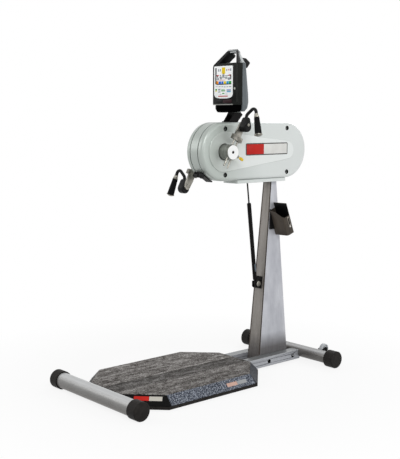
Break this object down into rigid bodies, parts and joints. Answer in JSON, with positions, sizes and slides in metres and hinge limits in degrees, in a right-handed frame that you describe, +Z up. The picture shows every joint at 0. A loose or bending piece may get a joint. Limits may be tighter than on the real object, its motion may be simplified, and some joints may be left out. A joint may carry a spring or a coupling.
{
  "type": "arm ergometer",
  "caption": "Free-standing arm crank machine with a standing platform, tapered column, tilting crank head, swivelling hand grips and a display console.",
  "frame": {"origin": "on the floor, under the middle of the whole object's bounding box", "axes": "+X to the right of the person who uses it, +Y from the platform towards the column, +Z up"},
  "size_m": [0.68, 1.409, 1.6413],
  "materials": {
    "steel_paint_dark": "satin black powder coat",
    "silver_paint": "satin silver paint",
    "column_metal": "brushed",
    "deck_grey": "fine speckled blue-grey paint",
    "mat_rubber": "streaky matt rubber",
    "black_rubber": "matt",
    "black_plastic": "matt",
    "cover_plastic": "silver-grey moulding",
    "badge": "plain foil plate",
    "console_grey": "blue-grey moulding",
    "display": "printed overlay",
    "bright_steel": "turned",
    "alu": "machined",
    "yellow": "moulded",
    "grip_rubber": "matt, finely ribbed",
    "pocket_paint": "satin",
    "belt_rubber": "matt",
    "wheel_tyre": "light grey, matt",
    "console_bezel": "near-black moulding",
    "dark_steel": "blackened"
  },
  "bodies": {
    "base": {"front_cross_tube": "silver_paint", "rear_cross_tube": "silver_paint", "front_foot_caps": "black_rubber", "rear_foot_caps": "black_rubber", "platform_deck": "deck_grey", "deck_edge_trim": "black_rubber", "mat_right": "mat_rubber", "mat_left": "mat_rubber", "rail_right": "silver_paint", "rail_left": "silver_paint", "column_bolts": "dark_steel", "column_base_plate": "steel_paint_dark", "column": "column_metal", "column_head": "bright_steel", "pivot_bushes": "black_plastic", "spring_lower_bracket": "steel_paint_dark", "accessory_pocket": "pocket_paint", "wheel_brackets": "steel_paint_dark"},
    "head": {"head_band": "cover_plastic", "chassis_plate_right": "alu", "chassis_plate_left": "alu", "cover_right": "cover_plastic", "cover_left": "cover_plastic", "cover_screws": "dark_steel", "side_badges": "badge", "underside_skirt": "cover_plastic", "tilt_pin": "bright_steel", "shaft_bearings": "bright_steel", "drive_belt": "belt_rubber", "brake_magnet": "steel_paint_dark", "spring_top_bracket": "bright_steel", "console_neck": "steel_paint_dark", "tilt_lock_bracket": "steel_paint_dark"},
    "spring_tube": {"gas_cylinder": "steel_paint_dark"},
    "spring_rod": {"gas_rod": "dark_steel"},
    "crank": {"crank_shaft": "bright_steel", "drive_pulley": "alu", "hub_right": "alu", "hub_left": "alu"},
    "brake": {"brake_rotor": "alu"},
    "arm_right": {"crank_arm_right": "bright_steel"},
    "arm_left": {"crank_arm_left": "bright_steel"},
    "pin_right": {"release_pin_right": "yellow"},
    "pin_left": {"release_pin_left": "yellow"},
    "handle_right": {"handle_boot_right": "black_plastic", "handle_bar_right": "black_plastic", "grip_fittings_right": "bright_steel"},
    "handle_left": {"handle_boot_left": "black_plastic", "handle_bar_left": "black_plastic", "grip_fittings_left": "bright_steel"},
    "hand_grip_right": {"grip_right": "grip_rubber"},
    "hand_grip_left": {"grip_left": "grip_rubber"},
    "console": {"console_front": "console_bezel", "console_rear": "console_grey", "console_carry_arch": "black_plastic", "console_display": "display"},
    "key": {"console_button": "alu"},
    "tilt_lock": {"tilt_lock_knob": "black_plastic"},
    "wheel_right": {"transport_wheel_right": "wheel_tyre"},
    "wheel_left": {"transport_wheel_left": "wheel_tyre"}
  },
  "joints": [
    {"name": "head_tilt", "type": "hinge", "parent": "base", "child": "head", "pos_m": [0, 0.455, 1.07], "axis": [1, 0, 0], "range_deg": [-15, 25]},
    {"name": "spring_swing", "type": "hinge", "parent": "base", "child": "spring_tube", "pos_m": [0, 0.352, 0.44], "axis": [1, 0, 0], "range_deg": [-3, 3]},
    {"name": "spring_stroke", "type": "slide", "parent": "spring_tube", "child": "spring_rod", "axis": [0, -0.1165, 0.9932], "range_m": [-0.08, 0.05]},
    {"name": "crank_spin", "type": "hinge", "parent": "head", "child": "crank", "pos_m": [0, 0.071, 1.136], "axis": [1, 0, 0], "continuous": true},
    {"name": "brake_spin", "type": "hinge", "parent": "head", "child": "brake", "pos_m": [0, 0.533, 1.162], "axis": [1, 0, 0], "continuous": true},
    {"name": "reach_right", "type": "slide", "parent": "crank", "child": "arm_right", "axis": [0, 0.4695, 0.8829], "range_m": [0, 0.05]},
    {"name": "reach_left", "type": "slide", "parent": "crank", "child": "arm_left", "axis": [0, -0.4695, -0.8829], "range_m": [-0.05, 0]},
    {"name": "pin_pull_right", "type": "slide", "parent": "crank", "child": "pin_right", "axis": [0, 0.8829, -0.4695], "range_m": [0, 0.006], "stiffness_N_per_m": 1500, "springref_m": -0.002},
    {"name": "pin_pull_left", "type": "slide", "parent": "crank", "child": "pin_left", "axis": [0, 0.8829, -0.4695], "range_m": [0, 0.006], "stiffness_N_per_m": 1500, "springref_m": -0.002},
    {"name": "handle_swing_right", "type": "hinge", "parent": "arm_right", "child": "handle_right", "pos_m": [0, 0.14142, 1.26844], "axis": [1, 0, 0], "continuous": true},
    {"name": "handle_swing_left", "type": "hinge", "parent": "arm_left", "child": "handle_left", "pos_m": [0, -0.02289, 0.95941], "axis": [1, 0, 0], "continuous": true},
    {"name": "grip_roll_right", "type": "hinge", "parent": "handle_right", "child": "hand_grip_right", "pos_m": [0.21, 0.14674, 1.30404], "axis": [-0.2924, 0.1414, 0.9458], "continuous": true},
    {"name": "grip_roll_left", "type": "hinge", "parent": "handle_left", "child": "hand_grip_left", "pos_m": [-0.21, -0.01757, 0.99501], "axis": [0.2924, 0.1414, 0.9458], "continuous": true},
    {"name": "console_tilt", "type": "hinge", "parent": "head", "child": "console", "pos_m": [0, 0.193, 1.352], "axis": [1, 0, 0], "range_deg": [-15, 5]},
    {"name": "key_press", "type": "slide", "parent": "console", "child": "key", "axis": [0, 1, 0], "range_m": [0, 0.002], "stiffness_N_per_m": 800, "springref_m": -0.0008},
    {"name": "lock_pull", "type": "slide", "parent": "head", "child": "tilt_lock", "axis": [1, 0, 0], "range_m": [0, 0.008], "stiffness_N_per_m": 1500, "springref_m": -0.002},
    {"name": "wheel_spin_right", "type": "hinge", "parent": "base", "child": "wheel_right", "pos_m": [0.2, 0.6765, 0.067], "axis": [1, 0, 0], "continuous": true},
    {"name": "wheel_spin_left", "type": "hinge", "parent": "base", "child": "wheel_left", "pos_m": [-0.2, 0.6765, 0.067], "axis": [1, 0, 0], "continuous": true}
  ],
  "couplings": [
    {"joint": "spring_swing", "follows": "head_tilt", "ratio": -0.077},
    {"joint": "spring_stroke", "follows": "head_tilt", "m_per_rad": -0.168},
    {"joint": "brake_spin", "follows": "crank_spin", "ratio": 4.2}
  ]
}
